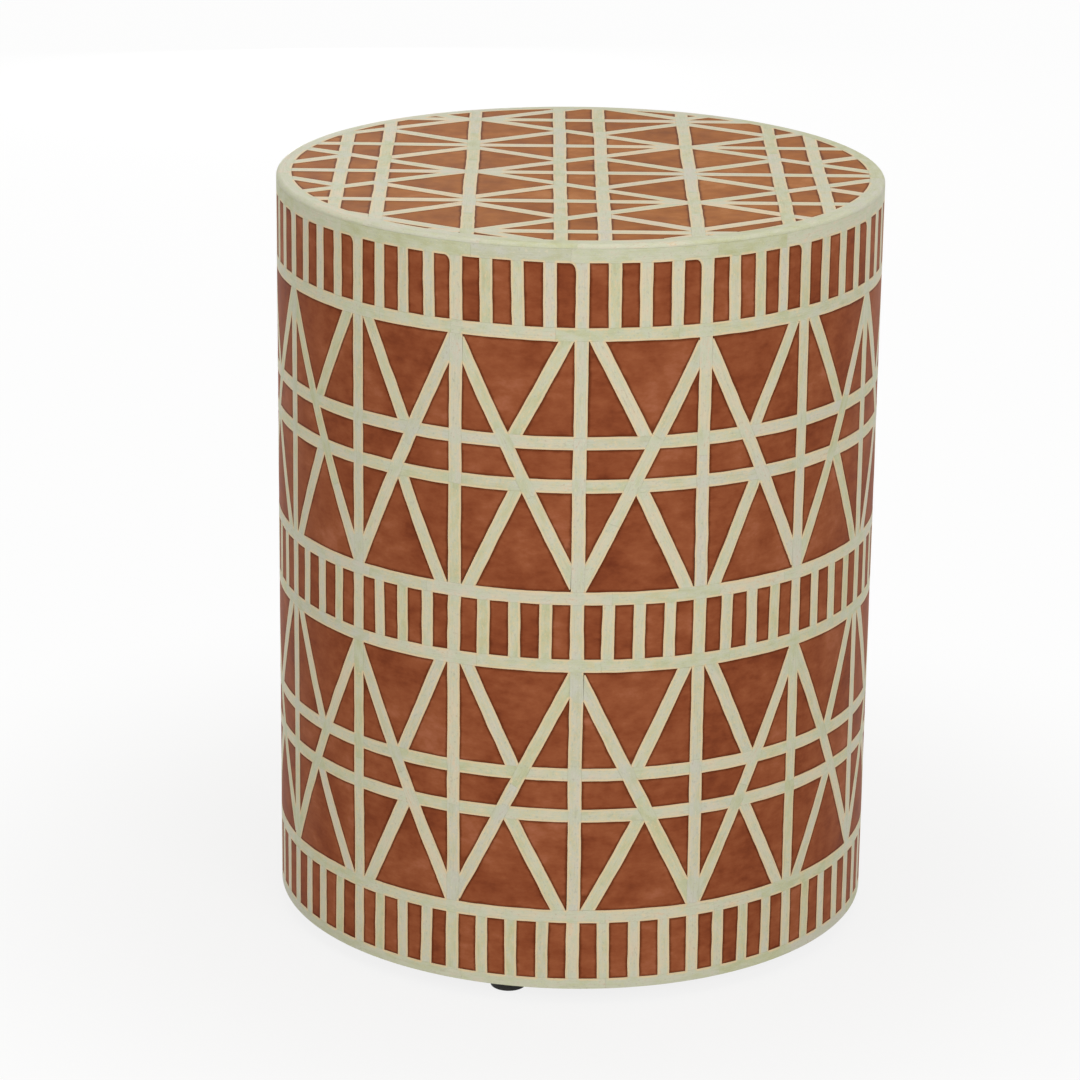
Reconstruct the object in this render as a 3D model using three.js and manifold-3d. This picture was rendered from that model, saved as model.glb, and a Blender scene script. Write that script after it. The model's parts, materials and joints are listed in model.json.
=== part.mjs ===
// A drum stool: strips of bone inlaid in cast resin, round a hollow drum of bent plywood.
// Millimetres, +Z up. The origin is the middle of the footprint on the floor, and the front is -Y.
import * as THREE from 'three';
import { mergeGeometries, mergeVertices } from 'three/addons/utils/BufferGeometryUtils.js';
import Module from 'manifold-3d';

// The drum
const overallHeight = 454;
const outerRadius = 179;
const footHeight = 9;
const boneThickness = 2.5;
const resinThickness = 1.4;
const panelThickness = 6;
const boardThickness = 18;
const fit = 0.3; // clearance between pieces that touch
const facets = 32; // flats round the drum, so that each tick window lies on one flat

// The inlay on the side, from the top down
const bays = 16; // spaces between uprights, an even number
const tickSpaces = 4; // windows of a tick band in each bay
const stripWidth = 7.8;
const tickWidth = 7.4;
const rimHoopWidth = 10.7;
const footHoopWidth = 6.5;

// Each row's share of the height that the hoops leave, where the middle ticks take up the rest
const upperTickShare = 0.1007;
const lowerTickShare = 0.0955;
const outerCellShare = 0.1505; // lattice row beside the upper or lower ticks
const pairCellShare = 0.0474; // lattice row between the paired hoops
const innerCellShare = 0.1593; // lattice row beside the middle ticks

// The inlay on the top
const topRingWidth = 9;
const topPitch = 71.6; // from one cross strip to the next
const topShift = -6.3; // the middle cross strip's place along Y
const topCellLength = 44.1;
const topPairCellLength = 16.7;
const cornerSteps = 3;

// Cutting the inlay
const overrun = 0.5; // how far a cutter passes the face that it opens
const smallestCell = 2; // narrower corners of the pattern stay bone

// The frame inside
const battens = 8;
const battenWidth = 30;
const battenDepth = 18;
const frameTurn = THREE.MathUtils.degToRad(-13.6); // the first batten and foot, from the front
const formerThickness = 12;
const formerWidth = 40;
const formerShares = [1 / 3, 2 / 3]; // each former's underside, up the battens

// Fasteners and feet
const screwRadius = 2;
const screwHeadRadius = 4;
const screwHeadDepth = 2.2;
const screwGrip = 24; // length of screw inside a batten
const screwTipLength = 4;
const driveWidth = 4.2;
const driveSlot = 1;
const driveDepth = 1.3;
const footRadius = 11;
const footToeRadius = 10.5;
const footRecessDepth = 6;
const screwSides = 8;
const footSides = 20;

// Places that follow from the sizes
const boneInside = outerRadius - boneThickness;
const resinOutside = boneInside - fit;
const resinInside = resinOutside - resinThickness;
const panelOutside = resinInside - fit;
const panelInside = panelOutside - panelThickness;
const formerOutside = panelInside - fit;
const flatShare = Math.cos(Math.PI / facets); // a flat's distance from the axis, of its corners' radius
const bulgeShare = Math.cos(Math.PI / bays); // the same for a chord across a bay
const battenFace = Math.sqrt(panelInside ** 2 - (battenWidth / 2) ** 2) * flatShare - fit;
const battenRadius = battenFace - battenDepth / 2;

const netBase = overallHeight - boneThickness;
const topResinBase = netBase - fit - resinThickness;
const topBoardTop = topResinBase - fit;
const topBoardBase = topBoardTop - boardThickness;
const baseBoardTop = footHeight + boardThickness;
const battenBase = baseBoardTop + fit;
const battenTop = topBoardBase - fit;

const plainHoops = 8; // hoops of one strip's width
const hoopsHeight = rimHoopWidth + footHoopWidth + plainHoops * stripWidth;
const openHeight = overallHeight - footHeight - hoopsHeight;
const latticeRows = [outerCellShare, pairCellShare, innerCellShare].map((share) => share * openHeight);
const latticeLength = latticeRows.reduce((sum, row) => sum + row) + 2 * stripWidth;
const upperTicksTop = overallHeight - rimHoopWidth;
const upperTicksBase = upperTicksTop - upperTickShare * openHeight;
const upperLatticeTop = upperTicksBase - stripWidth;
const upperLatticeBase = upperLatticeTop - latticeLength;
const lowerTicksBase = footHeight + footHoopWidth;
const lowerTicksTop = lowerTicksBase + lowerTickShare * openHeight;
const lowerLatticeBase = lowerTicksTop + stripWidth;
const lowerLatticeTop = lowerLatticeBase + latticeLength;
const middleTicksTop = upperLatticeBase - stripWidth;
const middleTicksBase = lowerLatticeTop + stripWidth;
const bayPitch = (2 * Math.PI * outerRadius) / bays;

const bone = { color: '#cdcbb2', roughness: 0.42 };
const resin = { color: '#9c4f31', roughness: 0.3 };
const board = { color: '#a88a63', roughness: 0.8 };
const plywood = { color: '#c9a876', roughness: 0.75 };
const pine = { color: '#d3b27c', roughness: 0.75 };
const rubber = { color: '#1d1c1b', roughness: 0.85 };
const steel = { color: '#a9a9a5', roughness: 0.35, metalness: 1 };

const wasm = await Module();
wasm.setup();

function toSolid(geometry) {
  const bare = geometry.clone();
  bare.deleteAttribute('normal');
  bare.deleteAttribute('uv');
  const merged = mergeVertices(bare);
  const mesh = new wasm.Mesh({
    numProp: 3,
    vertProperties: merged.attributes.position.array,
    triVerts: merged.index.array,
  });
  return new wasm.Manifold(mesh);
}

function toGeometry(solid) {
  const mesh = solid.getMesh();
  const geometry = new THREE.BufferGeometry();
  geometry.setAttribute('position', new THREE.BufferAttribute(mesh.vertProperties, 3));
  geometry.setIndex(new THREE.BufferAttribute(mesh.triVerts, 1));
  geometry.computeVertexNormals();
  return geometry;
}

function cut(geometry, cutters) {
  return toGeometry(toSolid(geometry).subtract(toSolid(mergeGeometries(cutters))));
}

// Turns a profile of [radius, height] points about Z, starting from the front
function turned(profile, sides) {
  const points = profile.map(([radius, height]) => new THREE.Vector2(radius, height));
  return new THREE.LatheGeometry(points, sides).rotateX(Math.PI / 2);
}

function tube(inside, outside, base, top) {
  const profile = [[inside, base], [outside, base], [outside, top], [inside, top], [inside, base]];
  return turned(profile, facets);
}

function disc(radius, base, top) {
  return turned([[0, base], [radius, base], [radius, top], [0, top]], facets);
}

function block(width, depth, height, x, y, z) {
  return new THREE.BoxGeometry(width, depth, height).translate(x, y, z);
}

// The solid between two like rings of points, whose order turns left seen from the end ring
function prism(start, end) {
  const count = start.length;
  const index = [];
  for (let i = 0; i < count; i += 1) {
    const next = (i + 1) % count;
    index.push(i, next, count + next, i, count + next, count + i);
  }
  for (let i = 1; i < count - 1; i += 1) {
    index.push(0, i + 1, i, count, count + i, count + i + 1);
  }
  const geometry = new THREE.BufferGeometry().setFromPoints([...start, ...end]);
  geometry.setIndex(index);
  return geometry;
}

// The part of a convex outline on the side of a line that the normal points to
function clip(outline, point, normal) {
  const heights = outline.map((corner) => corner.clone().sub(point).dot(normal));
  const isKept = heights.map((height) => height >= 0);
  const kept = [];
  outline.forEach((corner, i) => {
    const next = (i + 1) % outline.length;
    if (isKept[i]) {
      kept.push(corner);
    }
    if (isKept[i] !== isKept[next]) {
      kept.push(corner.clone().lerp(outline[next], heights[i] / (heights[i] - heights[next])));
    }
  });
  return kept;
}

function isCell(outline) {
  return outline.length > 2 && Math.abs(THREE.ShapeUtils.area(outline)) > smallestCell ** 2;
}

// What a strip laid from one point to another leaves of some outlines
function cutByStrip(outlines, [from, to]) {
  const along = to.clone().sub(from).normalize();
  const across = new THREE.Vector2(-along.y, along.x);
  const reach = across.clone().multiplyScalar(stripWidth / 2);
  const pieces = outlines.flatMap((outline) => [
    clip(outline, from.clone().add(reach), across),
    clip(outline, from.clone().sub(reach), across.clone().negate()),
  ]);
  return pieces.filter(isCell);
}

function rectangle(left, right, low, high) {
  return [[left, low], [right, low], [right, high], [left, high]].map(([x, y]) => new THREE.Vector2(x, y));
}

// The windows of one bay of the lattice. X runs from the middle of one upright to the next, and Y
// along them. A long diagonal joins the corners, and a short one leaves each of the other corners
// beside its upright and meets the long one at the far edge of the nearer of two cross strips.
function bayCells(pitch, [first, pair, last]) {
  const length = first + pair + last + 2 * stripWidth;
  const nearPair = first + stripWidth;
  const farPair = nearPair + pair;
  const onLong = (y) => new THREE.Vector2(pitch * (1 - y / length), y);
  const besideUpright = (stripWidth / 2) * (1 + Math.hypot(pitch, length) / length);
  const long = [onLong(0), onLong(length)];
  const firstShort = [new THREE.Vector2(besideUpright, 0), onLong(nearPair)];
  const lastShort = [onLong(farPair), new THREE.Vector2(pitch - besideUpright, length)];
  const row = (low, high) => [rectangle(stripWidth / 2, pitch - stripWidth / 2, low, high)];
  return [
    ...cutByStrip(cutByStrip(row(0, first), long), firstShort),
    ...cutByStrip(row(nearPair, farPair), long),
    ...cutByStrip(cutByStrip(row(farPair + stripWidth, length), long), lastShort),
  ];
}

function moved(outline, place) {
  const points = outline.map((point) => place(point));
  return THREE.ShapeUtils.isClockWise(points) ? points.reverse() : points;
}

// A window cut straight through the wall's bone, from an outline of arc length and height. Its outer
// face is far enough out that a chord across a whole bay clears the drum's bulge.
function wallWindow(outline) {
  const ring = (radius) => outline.map(({ x, y }) => {
    const angle = x / outerRadius;
    return new THREE.Vector3(radius * Math.sin(angle), -radius * Math.cos(angle), y);
  });
  return prism(ring(boneInside * flatShare - overrun), ring(outerRadius / bulgeShare + overrun));
}

function tickBand(base, ticksBase, ticksEnd, top) {
  const space = bayPitch / tickSpaces;
  const halfWidth = (line) => (line % tickSpaces === 0 ? stripWidth : tickWidth) / 2;
  const windows = [];
  for (let line = 0; line < bays * tickSpaces; line += 1) {
    const left = line * space + halfWidth(line);
    const right = (line + 1) * space - halfWidth(line + 1);
    windows.push(wallWindow(rectangle(left, right, ticksBase, ticksEnd)));
  }
  return cut(tube(boneInside, outerRadius, base, top), windows);
}

// The lattice between two tick bands, with its first row at the given level
function lattice(level, direction) {
  const windows = [];
  for (let bay = 0; bay < bays; bay += 1) {
    const across = (x) => (bay % 2 === 0 ? bay * bayPitch + x : (bay + 1) * bayPitch - x);
    const place = ({ x, y }) => new THREE.Vector2(across(x), level + direction * y);
    const cells = bayCells(bayPitch, latticeRows).map((outline) => moved(outline, place));
    windows.push(...cells.map(wallWindow));
  }
  const end = level + direction * latticeLength;
  const band = tube(boneInside, outerRadius, Math.min(level, end) + fit, Math.max(level, end) - fit);
  return cut(band, windows);
}

// The top's windows: three runs of the lattice side by side, mirrored about the strips between them
function topCells() {
  const rows = [topCellLength, topPairCellLength, topCellLength];
  const length = 2 * topCellLength + topPairCellLength + 2 * stripWidth;
  const middle = (length + stripWidth) / 2;
  const acrossRuns = [
    (along) => along - length / 2,
    (along) => length / 2 - along - 2 * middle,
    (along) => length / 2 - along + 2 * middle,
  ];
  const reach = Math.ceil(outerRadius / topPitch);
  const cells = [];
  for (let bay = -reach; bay <= reach; bay += 1) {
    const even = bay % 2 === 0;
    const across = (x) => topShift + (even ? bay * topPitch + x : (bay + 1) * topPitch - x);
    for (const along of acrossRuns) {
      const place = ({ x, y }) => new THREE.Vector2(along(y), across(x));
      cells.push(...bayCells(topPitch, rows).map((outline) => moved(outline, place)));
    }
  }
  return cells.map(insideTopRing).filter(isCell);
}

function insideTopRing(outline) {
  const radius = outerRadius - topRingWidth;
  let kept = outline;
  for (let side = 0; side < facets; side += 1) {
    const angle = ((side + 1 / 2) * 2 * Math.PI) / facets;
    const inward = new THREE.Vector2(-Math.sin(angle), Math.cos(angle));
    kept = clip(kept, inward.clone().multiplyScalar(-radius * flatShare), inward);
  }
  return kept;
}

// The top's bone, whose ring rounds over to the side
function topNet() {
  const profile = [[0, netBase], [outerRadius, netBase]];
  for (let step = 1; step <= cornerSteps; step += 1) {
    const angle = (step / cornerSteps) * (Math.PI / 2);
    const radius = boneInside + boneThickness * Math.cos(angle);
    profile.push([radius, netBase + boneThickness * Math.sin(angle)]);
  }
  profile.push([0, overallHeight]);
  const ring = (outline, height) => outline.map(({ x, y }) => new THREE.Vector3(x, y, height));
  const windows = topCells().map((outline) => (
    prism(ring(outline, netBase - overrun), ring(outline, overallHeight + overrun))
  ));
  return cut(turned(profile, facets), windows);
}

// Half of the bent plywood wall, whose ends meet on a batten's middle
function wallPanel(side) {
  const size = 2 * outerRadius;
  const half = block(size, size / 2, overallHeight, 0, side * (size / 4 + fit / 2), overallHeight / 2);
  half.rotateZ(frameTurn + Math.PI / 2);
  const wall = tube(panelInside, panelOutside, battenBase, battenTop);
  return toGeometry(toSolid(wall).intersect(toSolid(half)));
}

function battenAngle(number) {
  return frameTurn + (number * 2 * Math.PI) / battens;
}

// Moves a piece made on the front centre line out to a batten
function atBatten(geometry, number) {
  return geometry.translate(0, -battenRadius, 0).rotateZ(battenAngle(number));
}

function screwHole(base, top) {
  return turned([[0, base], [screwRadius + fit, base], [screwRadius + fit, top], [0, top]], screwSides);
}

function batten() {
  const height = battenTop - battenBase;
  const stick = block(battenWidth, battenDepth, height, 0, 0, battenBase + height / 2);
  const depth = screwGrip + fit;
  return cut(stick, [
    screwHole(battenBase - overrun, battenBase + depth),
    screwHole(battenTop - depth, battenTop + overrun),
  ]);
}

function former(base) {
  const ring = tube(formerOutside - formerWidth, formerOutside, base, base + formerThickness);
  const notchDepth = formerOutside - battenFace + battenDepth + fit + overrun;
  const notches = [];
  for (let number = 0; number < battens; number += 1) {
    const height = formerThickness + 2 * overrun;
    const middle = battenRadius + notchDepth / 2 - battenDepth / 2 - fit;
    const notch = block(battenWidth + 2 * fit, notchDepth, height, 0, -middle, base + formerThickness / 2);
    notches.push(notch.rotateZ(battenAngle(number)));
  }
  return cut(ring, notches);
}

// A board with a screw hole at each batten, sunk for the head on its outer face where asked
function screwedBoard(base, headFace, isSunk) {
  const top = base + boardThickness;
  const holes = [];
  for (let number = 0; number < battens; number += 1) {
    const plain = screwHole(base - overrun, top + overrun);
    holes.push(atBatten(isSunk(number) ? sunkHole(base, headFace) : plain, number));
  }
  return cut(disc(panelOutside, base, top), holes);
}

function sunkHole(base, headFace) {
  const out = headFace > base ? 1 : -1;
  const profile = [
    [0, headFace + out * overrun],
    [screwHeadRadius + fit, headFace + out * overrun],
    [screwHeadRadius + fit, headFace],
    [screwRadius + fit, headFace - out * screwHeadDepth],
    [screwRadius + fit, headFace - out * (boardThickness + overrun)],
    [0, headFace - out * (boardThickness + overrun)],
  ];
  return turned(out > 0 ? profile.reverse() : profile, screwSides);
}

// A countersunk wood screw with a cross recess, its head at the base and its tip up
function screw(length) {
  const profile = [
    [0, 0],
    [screwHeadRadius, 0],
    [screwRadius, screwHeadDepth],
    [screwRadius, length - screwTipLength],
    [0, length],
  ];
  const slot = block(driveWidth, driveSlot, 2 * driveDepth, 0, 0, 0);
  const body = toSolid(turned(profile, screwSides));
  return toGeometry(body.subtract(toSolid(slot)).subtract(toSolid(slot.clone().rotateZ(Math.PI / 2))));
}

function topScrew() {
  return screw(boardThickness + screwGrip).rotateX(Math.PI).translate(0, 0, topBoardTop);
}

function baseScrew() {
  return screw(boardThickness + screwGrip).translate(0, 0, footHeight);
}

// A tapered bumper with a sunk hole for its screw
function foot() {
  const top = footHeight - fit;
  const bore = screwRadius + fit;
  const recess = screwHeadRadius + fit;
  const seat = footRecessDepth - screwHeadDepth;
  const profile = [
    [bore, footRecessDepth],
    [recess, seat],
    [recess, 0],
    [footToeRadius, 0],
    [footRadius, top],
    [bore, top],
    [bore, footRecessDepth],
  ];
  return turned(profile, footSides);
}

function footScrew() {
  const seat = footRecessDepth - screwHeadDepth;
  return screw(baseBoardTop + screwGrip - seat).translate(0, 0, seat);
}

const group = new THREE.Group();

function add(name, geometry, look) {
  const mesh = new THREE.Mesh(geometry, new THREE.MeshStandardMaterial(look));
  mesh.name = name;
  group.add(mesh);
}

const hasFoot = (number) => number % 2 === 0;
const upperTicks = tickBand(upperLatticeTop, upperTicksBase, upperTicksTop, netBase - fit);
const middleTicks = tickBand(lowerLatticeTop, middleTicksBase, middleTicksTop, upperLatticeBase);
const lowerTicks = tickBand(footHeight, lowerTicksBase, lowerTicksTop, lowerLatticeBase);

add('top_inlay', topNet(), bone);
add('upper_tick_band', upperTicks, bone);
add('upper_lattice', lattice(upperLatticeTop, -1), bone);
add('middle_tick_band', middleTicks, bone);
add('lower_lattice', lattice(lowerLatticeBase, 1), bone);
add('lower_tick_band', lowerTicks, bone);
add('resin_top', disc(resinOutside, topResinBase, netBase - fit), resin);
add('resin_wall', tube(resinInside, resinOutside, footHeight, topResinBase - fit), resin);
add('top_board', screwedBoard(topBoardBase, topBoardTop, () => true), board);
add('base_board', screwedBoard(footHeight, footHeight, (number) => !hasFoot(number)), board);
add('wall_panel_1', wallPanel(1), plywood);
add('wall_panel_2', wallPanel(-1), plywood);

formerShares.forEach((share, i) => {
  const base = battenBase + share * (battenTop - battenBase);
  add(`former_ring_${i + 1}`, former(base), plywood);
});

for (let number = 0; number < battens; number += 1) {
  const label = number + 1;
  add(`batten_${label}`, atBatten(batten(), number), pine);
  add(`top_screw_${label}`, atBatten(topScrew(), number), steel);
  if (hasFoot(number)) {
    add(`foot_${label}`, atBatten(foot(), number), rubber);
    add(`foot_screw_${label}`, atBatten(footScrew(), number), steel);
  } else {
    add(`base_screw_${label}`, atBatten(baseScrew(), number), steel);
  }
}

export default group;
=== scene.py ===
import json
import math
import random

import bmesh
import bpy
from mathutils import Matrix, Vector, noise
from mathutils.geometry import delaunay_2d_cdt
from mathutils.kdtree import KDTree


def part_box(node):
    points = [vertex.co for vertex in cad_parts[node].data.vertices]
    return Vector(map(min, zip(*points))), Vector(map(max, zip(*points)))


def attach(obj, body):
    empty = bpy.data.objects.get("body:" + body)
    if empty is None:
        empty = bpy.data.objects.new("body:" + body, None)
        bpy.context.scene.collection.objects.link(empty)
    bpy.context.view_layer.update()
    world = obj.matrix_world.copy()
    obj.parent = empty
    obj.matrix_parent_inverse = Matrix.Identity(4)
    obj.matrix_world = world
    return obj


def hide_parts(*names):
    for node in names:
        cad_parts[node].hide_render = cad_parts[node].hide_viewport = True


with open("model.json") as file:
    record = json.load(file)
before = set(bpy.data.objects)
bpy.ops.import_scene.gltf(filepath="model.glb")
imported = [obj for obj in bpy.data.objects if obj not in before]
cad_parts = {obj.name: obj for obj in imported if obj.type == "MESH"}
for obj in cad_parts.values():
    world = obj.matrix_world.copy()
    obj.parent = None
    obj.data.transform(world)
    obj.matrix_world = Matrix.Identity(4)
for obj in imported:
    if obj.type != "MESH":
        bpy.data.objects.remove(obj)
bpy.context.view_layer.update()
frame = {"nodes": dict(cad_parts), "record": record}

mm = 0.001
print("frame loaded:", len(frame["nodes"]), "nodes")

# The drum as the frame gives it
drum = {
    "radius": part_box("upper_lattice")[1].x,
    "top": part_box("top_inlay")[1].z,
    "bone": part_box("top_inlay")[1].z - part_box("top_inlay")[0].z,
    "base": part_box("lower_tick_band")[0].z,
    "bays": 16,
    "ticks": 4,  # spaces of a tick band in each bay
}
girth = 2 * math.pi * drum["radius"]

# The inlay's own sizes
inlay = {
    "strip": 7.8 * mm,
    "tick": 7.3 * mm,
    "rimHoop": 10.7 * mm,
    "footHoop": 6.5 * mm,
    "rowShares": (0.4214, 0.1327, 0.4459),  # outer, paired and inner rows of a lattice
    "topRing": 9.0 * mm,
    "topPitch": 71.6 * mm,
    "topShift": -6.3 * mm,
    "topRows": (44.1 * mm, 16.7 * mm, 44.1 * mm),
    "slipLength": 68 * mm,
    "rimReach": 0.13 * mm,  # closes most of the gap under the top's ring
    "wallBed": 1.4 * mm,  # thickness of the resin behind the wall's slips
    "topHub": 0.5 * mm,  # radius of the hole in the middle of the top's resin
    "windowLeast": 1.3 * mm,  # side of the smallest slip or window worth making
}

# How far the hand strays from the drawing
hand = {
    "seed": 11,
    "upright": 0.30,  # degrees
    "seen": {-2: 0.40, -1: -0.50, 0: 0.0, 1: 0.35, 2: -0.20},  # degrees, the uprights in front
    "width": 0.045,  # share of a strip's width
    "tick": 0.45 * mm,
    "diagonal": 0.5 * mm,
    "crossStrip": 0.4 * mm,
    "hoopJoint": 0.3,  # share of a slip's length
    "hoopLean": 0.4 * mm,
    "cutSlant": 0.12,
    "cutShares": (0.36, 0.64),  # where a long piece is parted
    "longest": 1.35,  # pieces longer than this many slips are parted
    "lift": 0.03 * mm,
    "waves": ((0.35 * mm, 60 * mm), (0.22 * mm, 9 * mm)),  # drift of every edge, and its reach
    "calm": (1 * mm, 4 * mm),  # no drift this near to the foot of the wall and to the rim
    "fade": 9 * mm,  # over which the drift sets in
    "chip": (3.3 * mm, 4.6 * mm),  # width and height of the bone chips in some upper corners
    "chipSizes": (0.85, 1.15),
    "smallChip": 0.6,
    "chipChance": 0.12,
    "topTone": 0.55,  # how much warmer the top's crossed strips are
}
noise.seed_set(hand["seed"])

# A slip of bone and a casting of resin
boneShape = {
    "gap": 0.015 * mm,
    "bevel": 0.09 * mm,
    "depth": 2.2 * mm,
    "sunk": 0.0,
    "tip": 0.7 * mm,
    "insets": (0.3 * mm, 1.5 * mm),  # rows of corners inside a slip's edge
    "grid": None,
}
castShape = {
    "gap": 0.035 * mm,
    "bevel": 0.22 * mm,
    "depth": 1.0 * mm,
    "sunk": 0.10 * mm,
    "tip": 0.6 * mm,
    "insets": (0.9 * mm, 2.4 * mm),
    "grid": (4 * mm, 8 * mm),
}

# How outlines become slips
shaping = {
    "step": 3.8 * mm,  # between the corners along an edge
    "fineStep": 0.6 * mm,  # the same where the distance from the resin is measured
    "doubled": 0.4 * mm,  # corners nearer than this are one
    "least": 1.0 * mm,  # side of the smallest slip
    "sharp": 62,  # degrees, under which a tip is blunted
    "tipShare": 0.4,  # of an edge, the most that a blunted tip takes
    "mitre": 0.25,  # keeps sharp corners from moving too far
    "rowShare": 0.95,  # of its inset, what a row's corner keeps from every edge
    "gridShare": 1.4,  # of the last inset, what a grid's corner keeps
    "bevelTries": (1, 0.5, 0.2),  # shares of the bevel, where a slip is too small for all of it
    "seeds": 50,  # span of the grain's offsets
}


def flat(x, y):
    return Vector((x, y))


def leftOf(way):
    return flat(-way.y, way.x)


def radial(angle):
    # the way out from the drum's axis, with the angle counted from the front
    return Vector((math.sin(angle), -math.cos(angle), 0))


def pairs(ring):
    # each item of a ring and the one after it
    return zip(ring, ring[1:] + ring[:1])


def bands(rings):
    # the faces between each ring of corners and the next ring
    return [
        (a, b, d, c)
        for lower, upper in zip(rings, rings[1:])
        for (a, b), (c, d) in zip(pairs(lower), pairs(upper))
    ]


# Outlines on the wall are (arc length, height), and on the top (x, y)
def clip(outline, point, normal):
    heights = [(corner - point).dot(normal) for corner in outline]
    kept = []
    for (corner, other), (here, there) in zip(pairs(outline), pairs(heights)):
        if here >= 0:
            kept.append(corner)
        if (here >= 0) != (there >= 0):
            kept.append(corner.lerp(other, here / (here - there)))
    return kept


def oblong(left, right, low, high):
    return [flat(left, low), flat(right, low), flat(right, high), flat(left, high)]


def strip(start, end, width):
    along = (end - start).normalized()
    return {"start": start, "along": along, "across": leftOf(along), "half": width / 2}


def beside(outline, band, side):
    # what lies to the left (1) or right (-1) of a strip
    return clip(outline, band["start"] + band["across"] * band["half"] * side, band["across"] * side)


def under(outline, band):
    # what a strip covers
    near = clip(outline, band["start"] + band["across"] * band["half"], -band["across"])
    return clip(near, band["start"] - band["across"] * band["half"], band["across"])


def area(outline):
    return sum(corner.x * other.y - other.x * corner.y for corner, other in pairs(outline)) / 2


def edgesOf(outline):
    # each corner with the inward side of the edge after it
    return [(corner, leftOf((other - corner).normalized())) for corner, other in pairs(outline)]


def tidy(outline, least=shaping["doubled"]):
    # drops doubled corners and turns the outline to run left
    kept = [p for i, p in enumerate(outline) if (p - outline[i - 1]).length > least]
    if len(kept) > 2 and area(kept) < 0:
        kept.reverse()
    return kept


def big(outline, least=inlay["windowLeast"]):
    return len(outline) > 2 and abs(area(outline)) > least ** 2


def shrunk(outline, gap):
    kept = outline
    for corner, inward in edgesOf(outline):
        kept = clip(kept, corner + inward * gap, inward)
    return kept


def blunted(outline, width):
    # sharp tips are cut back to a width that a saw can leave
    corners = []
    for i, corner in enumerate(outline):
        back = outline[i - 1] - corner
        ahead = outline[(i + 1) % len(outline)] - corner
        angle = back.angle(ahead)
        if angle > math.radians(shaping["sharp"]):
            corners.append(corner)
            continue
        reach = width / (2 * math.sin(angle / 2))
        for way in (back, ahead):
            corners.append(corner + way.normalized() * min(reach, way.length * shaping["tipShare"]))
    return corners


def refined(outline, step=shaping["step"]):
    # adds corners along the edges, so that they follow the drum's curve and the hand's drift
    points = []
    for corner, other in pairs(outline):
        count = max(1, round((other - corner).length / step))
        points += [corner.lerp(other, k / count) for k in range(count)]
    return points


def pulledIn(points, distance):
    # each corner moves in along its mitre
    inwards = [inward for _, inward in edgesOf(points)]
    moved = []
    for corner, first, second in zip(points, inwards[-1:] + inwards, inwards):
        mitre = (first + second) / max(shaping["mitre"], 1 + first.dot(second))
        moved.append(corner + mitre * distance)
    return moved


def insideBy(edges, point):
    return min((point - corner).dot(inward) for corner, inward in edges)


def fill(points, count):
    # triangles over a ring of corners and any loose points inside it, or None if they leave a hole
    ring = list(range(count))
    found = delaunay_2d_cdt(points, [], [ring], 1, 1e-9, True)
    origins = found[3]
    if len(origins) != len(points) or any(not origin for origin in origins):
        return None
    faces = [[origins[k][0] for k in face] for face in found[2]]
    sides = [[frozenset((face[i - 1], face[i])) for i in range(3)] for face in faces]
    rim = {frozenset(pair) for pair in pairs(ring)}
    owners = {side: set() for side in rim}
    for number, edges in enumerate(sides):
        for side in edges:
            owners.setdefault(side, set()).add(number)
    # what lies outside the ring goes, from the outermost triangle in
    bare = [side for side, near in owners.items() if len(near) == 1 and side not in rim]
    for side in bare:
        for number in list(owners[side]):
            faces[number] = None
            for edge in sides[number]:
                owners[edge].discard(number)
                if len(owners[edge]) == 1 and edge not in rim:
                    bare.append(edge)
    if any(len(near) != 1 if side in rim else len(near) == 1 for side, near in owners.items()):
        return None
    return [face for face in faces if face]


def drift(place, fade):
    total = Vector((0, 0, 0))
    for amount, reach in hand["waves"]:
        total += noise.noise_vector(place / reach) * amount
    return flat(total.x + total.y, total.z) * fade


def ease(share):
    share = min(1.0, max(0.0, share))
    return share * share * (3 - 2 * share)


def looseCorners(shape, outline, ring, outwards):
    # the corners inside an outline, in rows along its edges and on a grid
    edges = edgesOf(outline)
    loose = []
    for inset in shape["insets"]:
        for point, outward in zip(ring, outwards):
            point = point - outward * inset
            if insideBy(edges, point) > inset * shaping["rowShare"]:
                loose.append(point)
    if shape["grid"]:
        steps = shape["grid"]
        columns, rows = (
            range(math.ceil(min(places) / step), math.floor(max(places) / step) + 1)
            for places, step in zip(zip(*outline), steps)
        )
        for i in columns:
            for j in rows:
                point = flat(i * steps[0], j * steps[1])
                if insideBy(edges, point) > shape["insets"][-1] * shaping["gridShare"]:
                    loose.append(point)
    return loose


class Wall:
    # the side
    def axes(self, point):
        outward = radial(point.x / drum["radius"])
        return outward, Vector((-outward.y, outward.x, 0)), Vector((0, 0, 1))

    def still(self, point):
        # where a point lies before the hand's drift
        return self.axes(point)[0] * drum["radius"] + Vector((0, 0, point.y))

    def place(self, point, depth):
        low, high = hand["calm"]
        fade = ease((point.y - drum["base"] - low) / hand["fade"])
        fade *= ease((drum["top"] - high - point.y) / hand["fade"])
        moved = point + drift(self.still(point), fade)
        return self.axes(moved)[0] * (drum["radius"] - depth) + Vector((0, 0, moved.y))


class Top:
    # the seat
    def axes(self, point):
        return Vector((0, 0, 1)), Vector((1, 0, 0)), Vector((0, 1, 0))

    def still(self, point):
        return Vector((point.x, point.y, drum["top"]))

    def place(self, point, depth):
        fade = ease((drum["radius"] - inlay["topRing"] - point.length) / hand["fade"])
        moved = point + drift(self.still(point), fade)
        return Vector((moved.x, moved.y, drum["top"] - depth))


def placed(data):
    thing = bpy.data.objects.new(data.name, data)
    bpy.context.scene.collection.objects.link(thing)
    return thing


def fit(data, node, material):
    # puts a finished mesh in the place of a node
    data.materials.append(material)
    piece = placed(data)
    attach(piece, "root")
    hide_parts(node)


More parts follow.
